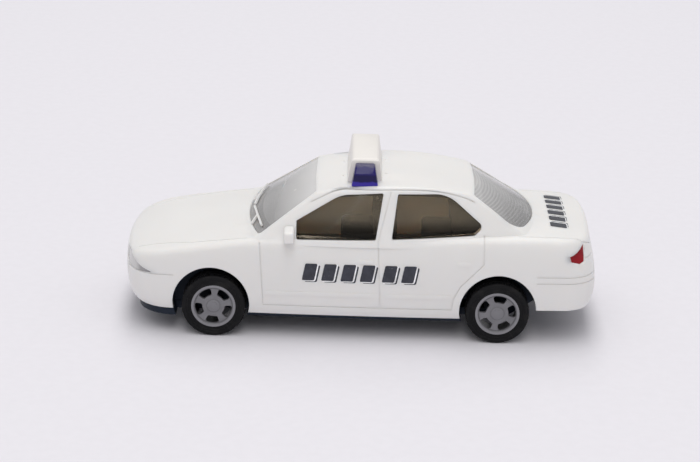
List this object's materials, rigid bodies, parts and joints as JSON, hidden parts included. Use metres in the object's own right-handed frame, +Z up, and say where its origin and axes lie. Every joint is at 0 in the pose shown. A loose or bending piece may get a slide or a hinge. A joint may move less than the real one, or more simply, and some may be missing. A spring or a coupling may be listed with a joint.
{
  "type": "model police car",
  "caption": "Small plastic model of a police saloon with a light bar across the roof, smoked windows over a moulded inside, and rolling wheels on steel axles.",
  "frame": {"origin": "on the ground, halfway along the car and on its centre line", "axes": "+X towards the nose, +Y to the car's left, +Z up"},
  "size_m": [0.0524, 0.0212, 0.0193],
  "materials": {
    "body_white": "glossy moulded plastic",
    "smoked_clear": "clear smoked moulding",
    "chassis_navy": "satin moulded plastic",
    "inside_dark": "satin moulded plastic",
    "grille_dark": "satin moulded plastic",
    "beacon_blue": "clear blue moulding",
    "lamp_clear": "clear moulding",
    "lamp_red": "clear red moulding",
    "axle_steel": "drawn pin",
    "rim_grey": "silver-grey moulded plastic",
    "tyre_black": "satin moulded plastic"
  },
  "bodies": {
    "car": {"body_shell": "body_white", "glazing": "smoked_clear", "chassis": "chassis_navy", "interior": "inside_dark", "steering_wheel": "inside_dark", "grille": "grille_dark", "bar_cover": "body_white", "beacon_left": "beacon_blue", "headlamp_left": "lamp_clear", "tail_lamp_left": "lamp_red", "mirror_left": "body_white", "wiper_left": "body_white", "beacon_right": "beacon_blue", "headlamp_right": "lamp_clear", "tail_lamp_right": "lamp_red", "mirror_right": "body_white", "wiper_right": "body_white"},
    "front_wheels": {"front_axle": "axle_steel", "rim_front_left": "rim_grey", "tyre_front_left": "tyre_black", "rim_front_right": "rim_grey", "tyre_front_right": "tyre_black"},
    "rear_wheels": {"rear_axle": "axle_steel", "rim_rear_left": "rim_grey", "tyre_rear_left": "tyre_black", "rim_rear_right": "rim_grey", "tyre_rear_right": "tyre_black"}
  },
  "joints": [
    {"name": "front_axle_turn", "type": "hinge", "parent": "car", "child": "front_wheels", "pos_m": [0.016, 0, 0.0035], "axis": [0, 1, 0], "continuous": true},
    {"name": "rear_axle_turn", "type": "hinge", "parent": "car", "child": "rear_wheels", "pos_m": [-0.0151, 0, 0.0035], "axis": [0, 1, 0], "continuous": true}
  ]
}
